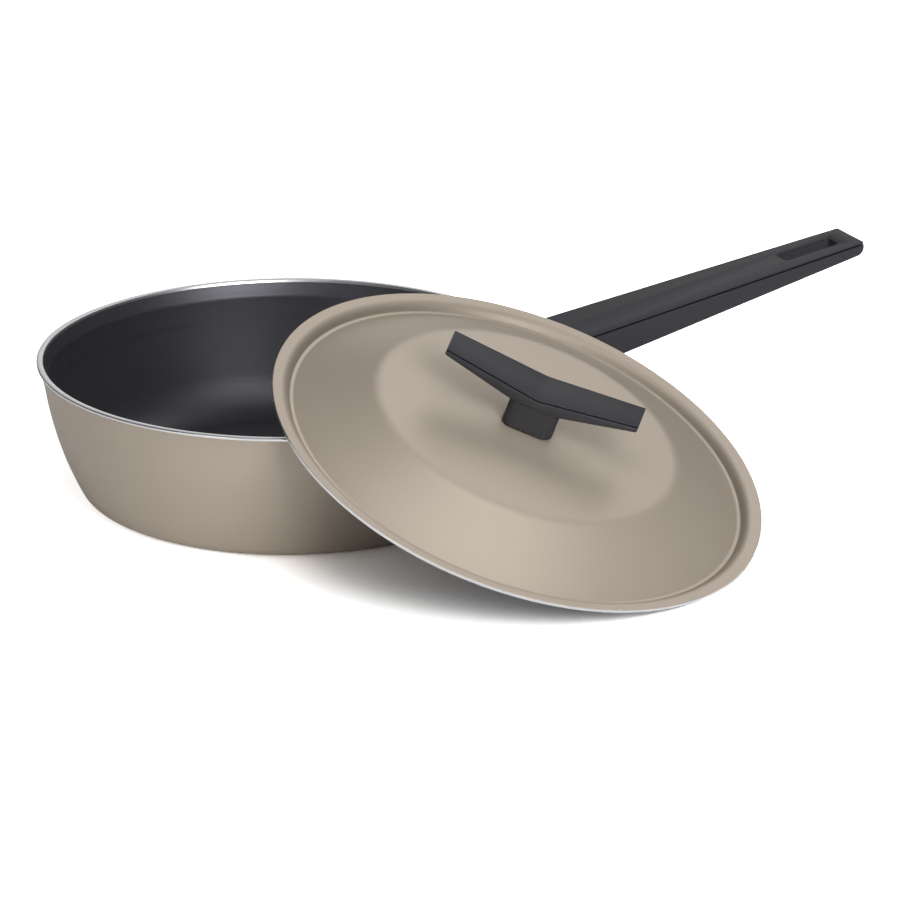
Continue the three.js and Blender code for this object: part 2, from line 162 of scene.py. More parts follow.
class Signal:
    """A socket of a material's nodes: operators on it add Math nodes, and node() adds any other node."""

    def __init__(self, tree, socket=None):
        self.tree = tree
        self.socket = socket

    def node(self, kind, settings, sockets, output=0):
        made = self.tree.nodes.new("ShaderNode" + kind)
        for name, value in settings.items():
            setattr(made, name, value)
        for name, value in sockets.items():
            if isinstance(value, Signal):
                self.tree.links.new(value.socket, made.inputs[name])
            else:
                made.inputs[name].default_value = value
        return Signal(self.tree, made.outputs[output])

    def maths(self, operation, first, second=0.0):
        return self.node("Math", {"operation": operation}, {0: first, 1: second})

    def __add__(self, other):
        return self.maths("ADD", self, other)

    def __radd__(self, other):
        return self.maths("ADD", other, self)

    def __sub__(self, other):
        return self.maths("SUBTRACT", self, other)

    def __rsub__(self, other):
        return self.maths("SUBTRACT", other, self)

    def __mul__(self, other):
        return self.maths("MULTIPLY", self, other)

    def __rmul__(self, other):
        return self.maths("MULTIPLY", other, self)

    def place(self):
        return self.node("TexCoord", {}, {}, "Object")

    def grain(self, place, scale, detail=2.0):
        return self.node("TexNoise", {}, {"Vector": place, "Scale": scale, "Detail": detail})

    def tint(self, amount, first, second):
        return self.node("Mix", {"data_type": "RGBA"}, {0: amount, 6: (*first, 1), 7: (*second, 1)}, 2)

    def bump(self, height, strength, distance):
        return self.node("Bump", {}, {"Strength": strength, "Distance": distance, "Height": height}, "Normal")

    def radius(self, place):
        flat = self.node("VectorMath", {"operation": "MULTIPLY"}, {0: place, 1: (1, 1, 0)})
        return self.node("VectorMath", {"operation": "LENGTH"}, {0: flat}, "Value")


def finish(name, fixed, varied):
    """Material with fixed values on its shader, and with the signals that varied() makes."""
    made = bpy.data.materials.new(name)
    made.use_nodes = True
    shader = made.node_tree.nodes["Principled BSDF"]
    for socket, value in fixed.items():
        shader.inputs[socket].default_value = value
    for socket, signal in varied(Signal(made.node_tree)).items():
        made.node_tree.links.new(signal.socket, shader.inputs[socket])
    return made


lacquer_metallic = 0.4
lacquer_dark = (0.5, 0.43, 0.355)
lacquer_light = (0.55, 0.475, 0.39)
lacquer_roughness = 0.4
cloud_roughness = 0.06
fleck_roughness = 0.04
fleck_share = 0.45


def lacquer_look(start):
    """Sprayed lacquer: faint clouds, metal flecks and a fine orange peel."""
    place = start.place()
    cloud = start.grain(place, scale=14, detail=3)
    fleck = start.grain(place, scale=2600, detail=1)
    peel = start.grain(place, scale=620)
    amount = cloud * (1 - fleck_share) + fleck * fleck_share
    return {
        "Base Color": start.tint(amount, lacquer_dark, lacquer_light),
        "Roughness": lacquer_roughness + cloud * cloud_roughness + fleck * fleck_roughness,
        "Normal": start.bump(peel, strength=0.05, distance=0.0004),
    }


bare_dark = (0.74, 0.74, 0.75)
bare_light = (0.86, 0.86, 0.87)
bare_roughness = 0.2
turning_roughness = 0.12
handling_roughness = 0.06


def bare_look(start):
    """Turned aluminium: fine lines round the axis, and patches from handling."""
    place = start.place()
    across = start.node("CombineXYZ", {}, {0: start.radius(place), 1: 0.0, 2: 0.0})
    lines = start.grain(across, scale=3500)
    patch = start.grain(place, scale=60)
    return {
        "Base Color": start.tint(lines, bare_dark, bare_light),
        "Roughness": bare_roughness + lines * turning_roughness + patch * handling_roughness,
        "Normal": start.bump(lines, strength=0.12, distance=0.0002),
    }


coating_dark = (0.012, 0.012, 0.0145)
coating_light = (0.026, 0.026, 0.031)
coating_roughness = 0.34
ring_roughness = 0.18
speck_roughness = 0.06


def coating_look(start):
    """Non-stick coat: small specks, and rings from spinning while it was sprayed."""
    place = start.place()
    speck = start.grain(place, scale=1800)
    height = start.node("SeparateXYZ", {}, {0: place}, "Z")
    across = start.node("CombineXYZ", {}, {0: start.radius(place), 1: height, 2: 0.0})
    rings = start.grain(across, scale=260, detail=3)
    return {
        "Base Color": start.tint(speck, coating_dark, coating_light),
        "Roughness": coating_roughness + rings * ring_roughness + speck * speck_roughness,
        "Normal": start.bump(speck, strength=0.06, distance=0.0003),
    }


lacquer = finish("lacquer", {"Metallic": lacquer_metallic}, lacquer_look)
bare = finish("bare_aluminium", {"Metallic": 1.0}, bare_look)
coating_gloss = {"IOR": 1.55, "Specular IOR Level": 1.0, "Specular Tint": (0.9, 0.91, 1, 1)}
coating = finish("non_stick", coating_gloss, coating_look)


def piece(name, mesh, place, materials, body, slot, *nodes):
    """A piece that stands for its solids, rides on a body and wears the materials given; its slot is not
    used.
    """
    mesh.transform(place)
    for material in materials:
        mesh.materials.append(material)
    made = bpy.data.objects.new(name, mesh)
    bpy.context.scene.collection.objects.link(made)
    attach(made, body)
    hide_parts(*nodes)


inner_rim = rim_radius - pan_wall
inner_crease = crease_radius - pan_wall
inner_bow = math.hypot(bow_height - crease_height, inner_crease - bow_radius)
inner_lean = math.atan2(bow_height - crease_height, inner_crease - bow_radius)
recess_radius = disc_radius + seat
recess_depth = disc_thickness + seat
flare_slope = flare_reach / flare_height
band_low = pan_height - lip_band
outer_side = vessel_side(wall_bow, wall_lean, outer_corner, 0)
inner_side = vessel_side(inner_bow, inner_lean, inner_corner, pan_floor)
flare_end = (rim_radius - flare_slope * lip_band - lip_step, band_low - lip_step)
crease = eased_turn(outer_side[-crease_blend - 1], outer_side[-1], flare_end, crease_steps)
outer_wall = [*outer_side[:-crease_blend], *crease]
lip = rounded([
    flare_end,
    (flare_end[0], band_low),
    (rim_radius, band_low + lip_step / 2, lip_step / 3),
    (rim_radius, pan_height, lip_round),
    (inner_rim, pan_height, lip_round),
    (inner_rim - flare_slope * lip_band, pan_height - lip_band),
], steps=4)
inner_wall = rounded([lip[-1], (*inner_side[-1], crease_round), *reversed(inner_side[:-1]), (0, pan_floor)])
under = [
    (0, recess_depth), (recess_radius, recess_depth), (recess_radius, recess_bevel),
    (recess_radius + recess_bevel, 0), outer_side[0],
]
lacquered, bared, coated = range(3)
pan_mesh = turned("pan", [(bared, under), (lacquered, outer_wall), (bared, lip), (coated, inner_wall)])
pan_finishes = [lacquer, bare, coating]
piece("pan", pan_mesh, Matrix(), pan_finishes, "pan", "lacquered_aluminium", "pan_body")


# Base disc: stamped steel, pressed into a recess in the underside so that the pan heats on an induction hob.
# Rings are turned into its face.
ring_pitch = 3.0
ring_depth = 0.25
disc_edge = 0.25
steel_dark = (0.5, 0.5, 0.51)
steel_light = (0.62, 0.62, 0.63)
steel_roughness = 0.24
brush_roughness = 0.14
stain_roughness = 0.08
brush_stretch = (1, 8, 1)


def steel_look(start):
    """Brushed steel: lines drawn out along X, and faint stains."""
    place = start.place()
    brushed = start.node("VectorMath", {"operation": "MULTIPLY"}, {0: place, 1: brush_stretch})
    lines = start.grain(brushed, scale=900, detail=3)
    stain = start.grain(place, scale=40, detail=3)
    return {
        "Base Color": start.tint(stain, steel_dark, steel_light),
        "Roughness": steel_roughness + lines * brush_roughness + stain * stain_roughness,
        "Normal": start.bump(lines, strength=0.08, distance=0.0002),
    }


steel = finish("steel", {"Metallic": 1.0}, steel_look)
ring_count = int((disc_radius - 2 * disc_edge) / ring_pitch)
disc_face = [(0, 0)]
for i in range(ring_count):
    groove = (i + 0.5) * ring_pitch
    disc_face += [
        (groove - 2 * ring_depth, 0), (groove - ring_depth / 2, ring_depth),
        (groove + ring_depth / 2, ring_depth), (groove + 2 * ring_depth, 0),
    ]
disc_face += [
    (disc_radius - disc_edge, 0), (disc_radius, disc_edge),
    (disc_radius, disc_thickness), (0, disc_thickness),
]
piece("disc", turned("disc", [(0, disc_face)], sides=192), Matrix(), [steel], "pan", "steel", "base_disc")


# Handle bracket: bent steel. Its flange lies on the wall and its tongue runs into the handle.
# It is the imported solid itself, in the same bright steel as the disc.
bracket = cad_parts["handle_bracket"]
for material_slot in bracket.material_slots:
    material_slot.material = steel


# Rivets: two steel rivets that go through the flange and the wall. Their low domes show inside the pan,
# and the closed ends are inside the handle's root.
handle_top = 53.0
root_depth = 17.9
flange_thickness = 3.0
rivet_spacing = 24.0
rivet_radius = 2.5
rivet_head = 4.2
rivet_dome = 1.4
dome_steps = 12
rivet_height = handle_top - root_depth / 2
rivet_angle = math.asin((bow_height - rivet_height) / wall_bow)
rivet_reach = bow_radius + wall_bow * math.cos(rivet_angle)
rivet_swing = math.asin(rivet_spacing / 2 / rivet_reach)
flange_face = seat + flange_thickness
dome_low = -pan_wall - seat
dome_turns = [i * math.pi / (2 * dome_steps) for i in range(dome_steps + 1)]
dome = [(rivet_head * math.sin(turn), dome_low - rivet_dome * math.cos(turn)) for turn in dome_turns]
rivet_line = [
    *dome, (rivet_radius, dome_low), (rivet_radius, flange_face + seat), (rivet_head, flange_face + seat),
    (rivet_radius, flange_face + seat + rivet_dome), (0, flange_face + seat + rivet_dome),
]
for name, way in (("rivet_left", 1), ("rivet_right", -1)):
    place = Matrix.Rotation(way * rivet_swing, 4, "Z")
    place @= Matrix.Translation(Vector((rivet_reach, 0, rivet_height)) * metre)
    place @= Matrix.Rotation(rivet_angle + math.pi / 2, 4, "Y")
    piece(name + "_dome", turned(name, [(0, rivet_line)], sides=48), place, [steel], "pan", "steel", name)


# Handle body: the lower moulding of the handle, in black phenolic. Its underside rises to the tip,
# the root is cut to the flange, and the hang slot goes right through. The screw's well is in the underside.
handle_rise = math.radians(8.7)
handle_length = 190.9
root_width = 39.6
tip_width = 26.0
tip_depth = 6.3
tip_corner = 4.5
handle_edge = 0.9
plan_corner = 1.0
slot_length = 30.4
slot_width = 11.4
slot_corner = 2.4
slot_from_tip = 10.1
slot_edge = 0.4
edge_clear = 0.1
edge_turn = 50
square_turn = 60
shading_angle = 35
cover_lip = 0.8
cover_shadow = 0.7
cover_inset = 3.0
tongue_depth = 7.6
tongue_thickness = 5.0
tongue_low = -tongue_depth - tongue_thickness / 2
screw_reach = 34.0
screw_radius = 2.2
screw_head = 4.2
screw_head_height = 2.2
screw_land = 2.2
handle_place = Matrix.Translation(Vector((rim_radius, 0, handle_top)) * metre)
handle_place @= Matrix.Rotation(-handle_rise, 4, "Y")


def slab(outline, half_width):
    """Solid with an outline in X and Z, and a half width across Y that depends on X."""
    shape = bmesh.new()
    near = [shape.verts.new(Vector((x, -half_width(x), z)) * metre) for x, z in outline]
    far = [shape.verts.new(Vector((x, half_width(x), z)) * metre) for x, z in outline]
    for i in range(len(outline)):
        shape.faces.new((near[i - 1], near[i], far[i], far[i - 1]))
    shape.faces.new(near)
    shape.faces.new(list(reversed(far)))
    bmesh.ops.recalc_face_normals(shape, faces=shape.faces)
    return shape


def prism(outline, low, high):
    """Solid with an outline in X and Y, from one height to another."""
    shape = bmesh.new()
    under = [shape.verts.new(Vector((x, y, low)) * metre) for x, y in outline]
    over = [shape.verts.new(Vector((x, y, high)) * metre) for x, y in outline]
    for i in range(len(outline)):
        shape.faces.new((under[i - 1], under[i], over[i], over[i - 1]))
    shape.faces.new(under)
    shape.faces.new(list(reversed(over)))
    bmesh.ops.recalc_face_normals(shape, faces=shape.faces)
    return shape


def joined(name, mesh, tools, operation="DIFFERENCE"):
    """The mesh after each tool has been cut from it or joined to it."""
    whole = bpy.data.objects.new(name, mesh)
    bpy.context.scene.collection.objects.link(whole)
    helpers = [bpy.data.objects.new(name + "_tool", tool) for tool in tools]
    for helper in helpers:
        bpy.context.scene.collection.objects.link(helper)
        change = whole.modifiers.new("change", "BOOLEAN")
        change.operation = operation
        change.solver = "EXACT"
        change.object = helper
    seen = bpy.context.evaluated_depsgraph_get()
    made = bpy.data.meshes.new_from_object(whole.evaluated_get(seen))
    for extra in [whole, *helpers]:
        bpy.data.objects.remove(extra)
    return made


def eased(mesh, width, chosen, steps=3):
    """Rounds the mesh's edges that chosen(start, end, turn) picks; points in millimetres, turn in degrees."""
    shape = bmesh.new()
    shape.from_mesh(mesh)
    edges = []
    for edge in shape.edges:
        if len(edge.link_faces) == 2:
            ends = [vert.co / metre for vert in edge.verts]
            if chosen(*ends, math.degrees(edge.calc_face_angle())):
                edges.append(edge)
    bmesh.ops.bevel(
        shape, geom=edges, affect="EDGES", offset=width * metre, offset_type="OFFSET",
        segments=steps, profile=0.5,
    )
    shape.to_mesh(mesh)
    shape.free()
    return mesh


def handle_half(x):
    """Half of the handle's width at a distance from the rim."""
    return (root_width + (tip_width - root_width) * x / handle_length) / 2


moulding_dark = (0.027, 0.027, 0.03)
moulding_light = (0.036, 0.036, 0.04)
moulding_roughness = 0.42
texture_roughness = 0.12
flow_roughness = 0.05


def moulding_look(start):
    """Phenolic: the fine texture of the mould, and faint flow marks."""
    place = start.place()
    texture = start.grain(place, scale=2400)
    flow = start.grain(place, scale=30, detail=3)
    return {
        "Base Color": start.tint(flow, moulding_dark, moulding_light),
        "Roughness": moulding_roughness + texture * texture_roughness + flow * flow_roughness,
        "Normal": start.bump(texture, strength=0.14, distance=0.0003),
    }


moulding_gloss = {"Specular IOR Level": 0.45, "Specular Tint": (0.9, 0.9, 1, 1)}
moulding = finish("phenolic", moulding_gloss, moulding_look)
handle_start = -root_depth
body_top = -cover_lip - cover_shadow
depth_slope = (root_depth - tip_depth) / handle_length
handle_side = rounded([
    (handle_start, -root_depth + depth_slope * handle_start),
    (handle_length, -tip_depth, tip_corner),
    (handle_length, body_top),
    (handle_start, body_top),
], closed=True, steps=8)


def root_tool():
    """What the pan and the bracket's flange take from the handle's root."""
    growth = flange_face + seat
    side = vessel_side(wall_bow + growth, wall_lean, outer_corner + growth, -growth)
    above = pan_height + root_depth
    line = [(0, -growth), *side, (rim_radius + growth, pan_height), (rim_radius + growth, above), (0, above)]
    mesh = turned("root", [(0, line)], sides=180)
    mesh.transform(handle_place.inverted())
    return mesh


def rectangle(start, end, width, corner):
    """Outline from a start to an end along X, with round corners."""
    half = width / 2
    corners = [(start, -half, corner), (end, -half, corner), (end, half, corner), (start, half, corner)]
    return rounded(corners, closed=True)


slot_end = handle_length - slot_from_tip
slot_start = slot_end - slot_length


def slot_tool():
    """What the hang slot takes from the handle."""
    outline = rectangle(slot_start, slot_end, slot_width, slot_corner)
    return meshed("slot", prism(outline, -2 * root_depth, root_depth))


def on_slot(point):
    along = slot_start - edge_clear < point.x < slot_end + edge_clear
    return along and abs(point.y) < slot_width / 2 + edge_clear


def slot_edges(start, end, turn):
    return turn > square_turn and on_slot(start) and on_slot(end)


def lower_edges(start, end, turn):
    low = min(start.z, end.z) < body_top - edge_clear
    return turn > edge_turn and start.y * end.y > 0 and low


head_seat = tongue_low - seat - screw_land
well_radius = screw_head + seat
well_low = -2 * root_depth
well_line = [(0, well_low), (well_radius, well_low), (well_radius, head_seat), (0, head_seat)]
well_tool = turned("well", [(0, well_line)], sides=48)
well_tool.transform(Matrix.Translation(Vector((screw_reach, 0, 0)) * metre))
handle_mesh = meshed("handle", slab(handle_side, handle_half))
handle_mesh = eased(handle_mesh, handle_edge, lower_edges)
handle_mesh = joined("handle", handle_mesh, [root_tool(), slot_tool(), well_tool])
handle_mesh = eased(handle_mesh, slot_edge, slot_edges, steps=2)
smoothed(handle_mesh, shading_angle)
piece("handle", handle_mesh, handle_place, [moulding], "pan", "phenolic", "handle_body")


# Handle cover: a flat strip of the same phenolic that is pressed into the body's top.
# It stands on a tongue, so a thin shadow line runs all round under its lip.
cover_edge = 0.3


def cover_half(x):
    return handle_half(x) - cover_inset


def tip_corners(start, end, turn):
    return min(start.x, end.x) > handle_length - edge_clear and abs(start.y - end.y) < edge_clear


def strip_edges(start, end, turn):
    return turn > square_turn and max(start.x, end.x) > handle_start + edge_clear


def upper_slot_edges(start, end, turn):
    return slot_edges(start, end, turn) and min(start.z, end.z) > -edge_clear


cover_line = [(handle_start, -cover_lip), (handle_length, -cover_lip), (handle_length, 0), (handle_start, 0)]
strip = meshed("cover", slab(cover_line, handle_half))
strip = eased(strip, plan_corner, tip_corners)
strip = eased(strip, cover_edge, strip_edges, steps=2)
tongue_line = [
    (cover_inset, body_top), (handle_length - cover_inset, body_top),
    (handle_length - cover_inset, -cover_lip / 2), (cover_inset, -cover_lip / 2),
]
strip = joined("cover", strip, [meshed("tongue", slab(tongue_line, cover_half))], "UNION")
strip = joined("cover", strip, [root_tool(), slot_tool()])
strip = eased(strip, cover_edge, upper_slot_edges, steps=2)
smoothed(strip, shading_angle)
piece("cover", strip, handle_place, [moulding], "pan", "phenolic", "handle_cover")


# Handle screw: a steel pan-head screw that comes up from the well and clamps the handle to the tongue.
# Its head has a cross recess.
cross_width = 1.1
cross_reach = 2.4
cross_depth = 1.2


def screw(name, radius, head, head_height, grip):
    """Screw along Z with its head below its seat, and a cross cut into the head."""
    line = [
        *rounded([(0, -head_height), (head, -head_height, head_height / 2), (head, 0)]),
        (radius, 0), (radius, grip - radius / 2), (radius / 2, grip), (0, grip),
    ]
    arms = []
    for along, across in ((cross_reach, cross_width / 2), (cross_width / 2, cross_reach)):
        bar = [(-along, -across), (along, -across), (along, across), (-along, across)]
        arms.append(meshed("cross", prism(bar, -2 * head_height, cross_depth - head_height)))
    mesh = joined(name, turned(name, [(0, line)], sides=48), arms)
    smoothed(mesh, shading_angle)
    return mesh


screw_end = 1.4
tongue_high = tongue_low + tongue_thickness
screw_seat = head_seat - seat
screw_mesh = screw("screw", screw_radius, screw_head, screw_head_height, tongue_high + screw_end - screw_seat)
screw_place = handle_place @ Matrix.Translation(Vector((screw_reach, 0, screw_seat)) * metre)
piece("screw", screw_mesh, screw_place, [steel], "pan", "steel", "handle_screw")


# Lid: one pressed aluminium sheet with a flat brim, a groove inside it, a cone and a shallow crown.
# Lacquered on top, coated below, and bare at the cut edge. It stands on the table and leans on the rim.
lid_radius = 119.5
lid_sheet = 1.6
brim_width = 6.2
brim_dip = 0.6
brim_round = 6.0
groove_depth = 3.8
groove_floor = 1.8
groove_wall = 3.0
groove_round = 1.4
shoulder_radius = 73.0
shoulder_height = 13.8
shoulder_round = 14.0
pad_radius = 16.0
pad_height = 14.0
knob_screw_radius = 2.5
lid_tilt = math.radians(23.056712)
lean_direction = math.radians(-63.75)
lid_centre = Vector((59.784009, -121.229978, 48.266569))
lid_place = Matrix.Translation(lid_centre * metre) @ Matrix.Rotation(lean_direction, 4, "Z")
lid_place @= Matrix.Rotation(lid_tilt, 4, "Y")
lid_axis = lid_place.col[2].xyz


def set_down(line, distance):
    """The line moved square to itself, as the underside of a sheet is to its top."""
    points = [Vector(point) for point in line]
    ways = [(b - a).normalized() for a, b in zip(points, points[1:])]
    moved = []
    for i, point in enumerate(points):
        before = ways[max(i - 1, 0)]
        along = (before + ways[min(i, len(ways) - 1)]).normalized()
        reach = distance / along.dot(before)
        moved.append((point.x + along.y * reach, point.y - along.x * reach))
    return moved


lid_hole = knob_screw_radius + seat
groove_outer = lid_radius - brim_width - groove_wall
lid_top = rounded([
    (lid_hole, pad_height),
    (pad_radius, pad_height, shoulder_round),
    (shoulder_radius, shoulder_height, shoulder_round),
    (groove_outer - groove_floor, -groove_depth, groove_round),
    (groove_outer, -groove_depth, groove_round / 2),
    (lid_radius - brim_width, -brim_dip, brim_round),
    (lid_radius, 0),
], steps=8)
lid_under = set_down(lid_top, lid_sheet)
lid_under[0] = (lid_hole, lid_under[0][1])
lid_under[-1] = (lid_radius, lid_under[-1][1])
edge_round = 0.18
edge_steps = 4
edge_reach = 1.5 * edge_round
edge_start = lid_radius - edge_reach
edge_drop = edge_reach * brim_dip / brim_width
edge_line = rounded([
    (edge_start, lid_top[-1][1] - edge_drop), (*lid_top[-1], edge_round),
    (*lid_under[-1], edge_round), (edge_start, lid_under[-1][1] - edge_drop),
], steps=edge_steps)
painted_edge, cut_edge = edge_line[:edge_steps + 2], edge_line[edge_steps + 1:]
lid_runs = [
    (lacquered, [*lid_top[:-1], *painted_edge]),
    (bared, cut_edge),
    (coated, [cut_edge[-1], *reversed(lid_under[:-1])]),
    (bared, [lid_under[0], lid_top[0]]),
]
# Painted shade: the lid's lacquer is darkened across the groove's outer wall, where shade falls.
painted_shade_colour = (0.15, 0.125, 0.1)
painted_shade_strength = 0.62
painted_shade_start = groove_outer - 0.6
painted_shade_full = groove_outer + 0.3
painted_shade_fade = groove_outer + 0.6
painted_shade_end = groove_outer + groove_wall + 1.6


def smooth_step(start, value, low, high):
    """0 up to a low value, 1 from a high one, and a smooth rise between."""
    ends = {"Value": value, "From Min": low, "From Max": high}
    return start.node("MapRange", {"interpolation_type": "SMOOTHSTEP"}, ends)


def lid_lacquer_painted_shade_look(start):
    """The lacquer, with painted shade that darkens it in the groove."""
    look = lacquer_look(start)
    away = start.node("VectorMath", {"operation": "SUBTRACT"}, {0: start.place(), 1: lid_centre * metre})
    height = start.node("VectorMath", {"operation": "DOT_PRODUCT"}, {0: away, 1: lid_axis}, "Value")
    reach = start.node("VectorMath", {"operation": "LENGTH"}, {0: away}, "Value")
    radius = start.maths("SQRT", reach * reach - height * height)
    risen = smooth_step(start, radius, painted_shade_start * metre, painted_shade_full * metre)
    ended = smooth_step(start, radius, painted_shade_fade * metre, painted_shade_end * metre)
    # Painted shade: strongest on the groove's wall, fading on either side of it.
    painted_shade = risen * (1 - ended) * painted_shade_strength
    look["Base Color"] = start.node(
        "Mix", {"data_type": "RGBA"}, {0: painted_shade, 6: look["Base Color"], 7: (*painted_shade_colour, 1)}, 2,
    )
    return look


# The lid's lacquer, with the painted shade in its groove.
lid_lacquer_painted_shade = finish("lid_lacquer_painted_shade", {"Metallic": lacquer_metallic}, lid_lacquer_painted_shade_look)
lid_mesh = turned("lid", lid_runs, sides=360, sharp_angle=50)
piece("lid", lid_mesh, lid_place, [lid_lacquer_painted_shade, bare, coating], "lid", "lid_aluminium", "lid_shell")


# Knob body: a phenolic stem with two arms that rise to their tips, moulded in one.
# A screw through the lid holds it.
knob_turn = math.radians(26.1)
knob_half = 47.5
bend_height = 34.5
tip_rise = 5.6
bend_round = 14.0
bend_width = 23.3
knob_tip_width = 17.6
knob_tip_depth = 3.8
knob_root_depth = 7.0
knob_edge = 0.7
stem_length = 24.5
stem_width = 21.0
stem_corner = 5.0
seal_thickness = 0.6
insert_radius = 4.0
insert_length = 11.5
split_tolerance = 0.001
stem_foot = pad_height + seal_thickness + 2 * seat
knob_place = lid_place @ Matrix.Rotation(knob_turn, 4, "Z")


def bar_half(x):
    """Half of the knob's width at a distance from its bend."""
    return (bend_width - (bend_width - knob_tip_width) * abs(x) / knob_half) / 2


def bar_top(drop, half):
    """The knob's bent top, lowered by a drop, out to a half length."""
    tip = bend_height + tip_rise * half / knob_half
    return [(half, tip - drop), (0, bend_height - drop, bend_round), (-half, tip - drop)]


def bent_slab(outline, half_width):
    """A slab whose sides are split at the bend, so that each side face is flat."""
    shape = slab(outline, half_width)
    whole = [*shape.verts, *shape.edges, *shape.faces]
    bmesh.ops.bisect_plane(
        shape, geom=whole, dist=split_tolerance * metre, plane_co=(0, 0, 0), plane_no=(1, 0, 0),
    )
    bmesh.ops.recalc_face_normals(shape, faces=shape.faces)
    return shape


def together(name, *meshes):
    """One mesh of several closed ones that meet face to face."""
    shape = bmesh.new()
    for mesh in meshes:
        shape.from_mesh(mesh)
    return meshed(name, shape)


knob_tip = bend_height + tip_rise
arm_root = bend_height + tip_rise * stem_length / (2 * knob_half) - knob_root_depth
arm_flat = stem_length / 2 + seat
arm_side = rounded([
    (-arm_flat, arm_root), (0, arm_root), (arm_flat, arm_root), (knob_half, knob_tip - knob_tip_depth),
    *bar_top(cover_lip + cover_shadow, knob_half), (-knob_half, knob_tip - knob_tip_depth),
], closed=True)


def arm_edges(start, end, turn):
    return turn > edge_turn and (start.y * end.y > 0 or abs(start.x) > knob_half - edge_clear)


arms = meshed("knob", bent_slab(arm_side, bar_half))
arms = eased(arms, knob_edge, arm_edges)
stem_outline = rectangle(-stem_length / 2, stem_length / 2, stem_width, stem_corner)
stem = meshed("stem", prism(stem_outline, stem_foot, arm_root))
bore_radius = insert_radius + seat
bore_line = [(0, 0), (bore_radius, 0), (bore_radius, 2 * stem_foot), (0, 2 * stem_foot)]
stem = joined("stem", stem, [turned("bore", [(0, bore_line)], sides=48)])
knob = together("knob", arms, stem)
smoothed(knob, shading_angle)
piece("knob", knob, knob_place, [moulding], "lid", "phenolic", "knob_body")


# Knob cover: a thin bent strip of the same phenolic on top of the arms.
# Like the handle's, it stands on a tongue over a thin shadow line.
tongue_half = knob_half - cover_inset


def tongue_width(x):
    return bar_half(x) - cover_inset


def folded_edges(start, end, turn):
    return turn > edge_turn


plate_line = rounded([*reversed(bar_top(cover_lip, knob_half)), *bar_top(0, knob_half)], closed=True)
plate = meshed("plate", bent_slab(plate_line, bar_half))
plate = eased(plate, cover_edge, folded_edges, steps=2)
tongue_foot = bar_top(cover_lip + cover_shadow, tongue_half)
tongue_line = rounded([*reversed(tongue_foot), *bar_top(cover_lip, tongue_half)], closed=True)
tongue = meshed("tongue", bent_slab(tongue_line, tongue_width))
plate = together("plate", plate, tongue)
smoothed(plate, shading_angle)
piece("plate", plate, knob_place, [moulding], "lid", "phenolic", "knob_cover")


# Knob insert: a turned brass bush with a bore for the screw's thread.
# It is moulded into the stem.
insert_low = stem_foot + seat
insert_edge = 0.4
insert_bore = knob_screw_radius + seat
brass_dark = (0.5, 0.36, 0.15)
brass_light = (0.62, 0.47, 0.22)
brass_roughness = 0.25
mark_roughness = 0.15


def brass_look(start):
    """Turned brass: fine marks all over."""
    marks = start.grain(start.place(), scale=1200)
    return {
        "Base Color": start.tint(marks, brass_dark, brass_light),
        "Roughness": brass_roughness + marks * mark_roughness,
        "Normal": start.bump(marks, strength=0.08, distance=0.0002),
    }


brass = finish("brass", {"Metallic": 1.0}, brass_look)
insert_line = [
    (insert_bore + insert_edge, insert_low), (insert_radius - insert_edge, insert_low),
    (insert_radius, insert_low + insert_edge), (insert_radius, insert_low + insert_length - insert_edge),
    (insert_radius - insert_edge, insert_low + insert_length), (insert_bore, insert_low + insert_length),
    (insert_bore, insert_low + insert_edge), (insert_bore + insert_edge, insert_low),
]
insert = turned("insert", [(0, insert_line)], sides=64)
piece("insert", insert, knob_place, [brass], "lid", "brass", "knob_insert")


# Knob seal: a thin silicone gasket, stamped from sheet. It is clamped between the stem and the lid's crown
# and closes the screw's hole.
seal_inset = 1.5
seal_edge = 0.15
silicone_dark = (0.03, 0.03, 0.03)
silicone_light = (0.045, 0.045, 0.045)
silicone_roughness = 0.6
grain_roughness = 0.2


def silicone_look(start):
    """Matt silicone with a fine grain."""
    fine = start.grain(start.place(), scale=900)
    return {
        "Base Color": start.tint(fine, silicone_dark, silicone_light),
        "Roughness": silicone_roughness + fine * grain_roughness,
        "Normal": start.bump(fine, strength=0.1, distance=0.0003),
    }


def square_edges(start, end, turn):
    return turn > square_turn


silicone = finish("silicone", {}, silicone_look)
seal_low = pad_height + seat
seal_half = stem_length / 2 - seal_inset
seal_outline = rectangle(-seal_half, seal_half, stem_width - 2 * seal_inset, stem_corner - seal_inset)
seal = meshed("seal", prism(seal_outline, seal_low, seal_low + seal_thickness))
seal = eased(seal, seal_edge, square_edges, steps=2)
seal_hole = [(0, 0), (insert_bore, 0), (insert_bore, bend_height), (0, bend_height)]
seal = joined("seal", seal, [turned("hole", [(0, seal_hole)], sides=48)])
smoothed(seal, shading_angle)
piece("seal", seal, knob_place, [silicone], "lid", "silicone", "knob_seal")


# Knob washer: stamped steel under the lid's crown. It spreads the load of the screw's head over the sheet,
# and the screw holds it there.
washer_radius = 7.0
washer_thickness = 1.0
washer_edge = 0.2
washer_top = pad_height - lid_sheet - seat
washer_low = washer_top - washer_thickness
washer_line = [
    (insert_bore, washer_low), (washer_radius - washer_edge, washer_low),
    (washer_radius, washer_low + washer_edge), (washer_radius, washer_top),
    (insert_bore, washer_top), (insert_bore, washer_low),
]
washer = turned("washer", [(0, washer_line)], sides=64)
piece("washer", washer, knob_place, [steel], "lid", "steel", "knob_washer")


